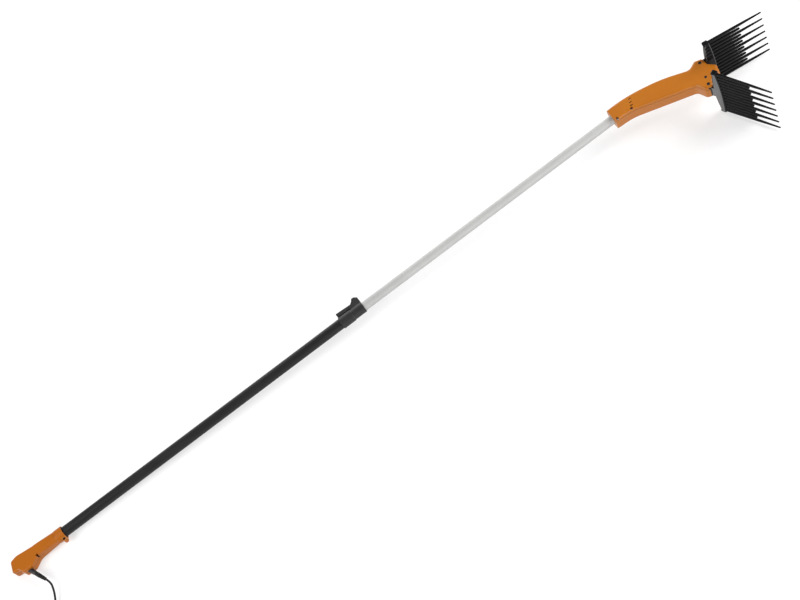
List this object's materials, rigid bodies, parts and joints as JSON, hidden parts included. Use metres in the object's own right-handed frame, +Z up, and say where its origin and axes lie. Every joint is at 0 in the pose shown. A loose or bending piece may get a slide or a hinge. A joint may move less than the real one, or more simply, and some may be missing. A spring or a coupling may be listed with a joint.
{
  "type": "electric olive harvester",
  "caption": "Electric olive harvester: telescopic pole with a lever clamp, a rear handle with switch and lead, and an angled head whose combs of long tines swing to shake fruit loose.",
  "frame": {"origin": "middle of the tool's length and width at the ground it lies on, the lead left out", "axes": "+X along the pole from the handle to the combs, +Z up from the ground, close to the hinge pins' direction, +Y across the pole towards the upper comb and the clamp lever"},
  "size_m": [2.6348, 0.3426, 0.1963],
  "materials": {
    "black_tube": "satin black anodised aluminium tube",
    "silver_tube": "matte natural anodised aluminium tube",
    "orange_plastic": "fine-textured orange moulding",
    "black_plastic": "fine-textured black moulding",
    "comb_plastic": "smooth black glass-filled nylon",
    "switch_black": "gloss black",
    "steel": "zinc-plated steel",
    "motor_steel": "motor can",
    "cast_aluminium": "as cast",
    "bronze": "sintered bronze",
    "cord_rubber": "matte black sheath",
    "strap": "black hook-and-loop strap"
  },
  "bodies": {
    "pole_and_handle": {"outer_tube": "black_tube", "tube_plug": "black_plastic", "clamp_body": "black_plastic", "clamp_pin": "steel", "clamp_shoe": "black_plastic", "handle_near": "orange_plastic", "handle_far": "orange_plastic", "handle_screws": "steel", "switch_body": "black_plastic", "power_socket": "black_plastic", "power_plug": "black_plastic", "cord_boot": "cord_rubber", "power_cord": "cord_rubber", "cord_coil": "cord_rubber", "coil_tie": "strap", "cord_tail": "cord_rubber", "battery_connector": "black_plastic"},
    "head": {"inner_tube": "silver_tube", "guide_bush": "black_plastic", "casing_near": "orange_plastic", "casing_far": "orange_plastic", "casing_screws": "steel", "motor": "motor_steel", "gearbox": "cast_aluminium", "shaft_plate": "steel", "hinge_pins": "steel"},
    "upper_comb": {"upper_comb_base": "comb_plastic", "upper_comb_long_tines": "comb_plastic", "upper_comb_short_tines": "comb_plastic", "upper_comb_bushes": "bronze"},
    "lower_comb": {"lower_comb_base": "comb_plastic", "lower_comb_long_tines": "comb_plastic", "lower_comb_short_tines": "comb_plastic", "lower_comb_bushes": "bronze"},
    "drive_rocker": {"drive_rocker": "steel"},
    "clamp_lever": {"clamp_lever": "black_plastic"},
    "switch_rocker": {"switch_rocker": "switch_black"}
  },
  "joints": [
    {"name": "pole_slide", "type": "slide", "parent": "pole_and_handle", "child": "head", "axis": [0.9994, 0, 0.0342], "range_m": [-0.85, 0]},
    {"name": "upper_comb_swing", "type": "hinge", "parent": "head", "child": "upper_comb", "pos_m": [1.06866, 0.08659, 0.09749], "axis": [-0.0342, 0, 0.9994], "range_deg": [0, 36]},
    {"name": "lower_comb_swing", "type": "hinge", "parent": "head", "child": "lower_comb", "pos_m": [1.04507, 0.01645, 0.09668], "axis": [-0.0342, 0, 0.9994], "range_deg": [0, 36]},
    {"name": "drive_rocker_turn", "type": "hinge", "parent": "head", "child": "drive_rocker", "pos_m": [1.05686, 0.05152, 0.09709], "axis": [-0.0342, 0, 0.9994], "range_deg": [-19.5, 0]},
    {"name": "clamp_lever_turn", "type": "hinge", "parent": "pole_and_handle", "child": "clamp_lever", "pos_m": [-0.07247, 0.15552, 0.05841], "axis": [0.0342, 0, -0.9994], "range_deg": [0, 110]},
    {"name": "switch_press", "type": "hinge", "parent": "pole_and_handle", "child": "switch_rocker", "pos_m": [-1.20216, 0.14039, 0.01972], "axis": [-0.0342, 0, 0.9994], "range_deg": [0, 14]}
  ],
  "couplings": [
    {"joint": "lower_comb_swing", "follows": "upper_comb_swing", "ratio": 1},
    {"joint": "drive_rocker_turn", "follows": "upper_comb_swing", "ratio": -0.54167}
  ]
}
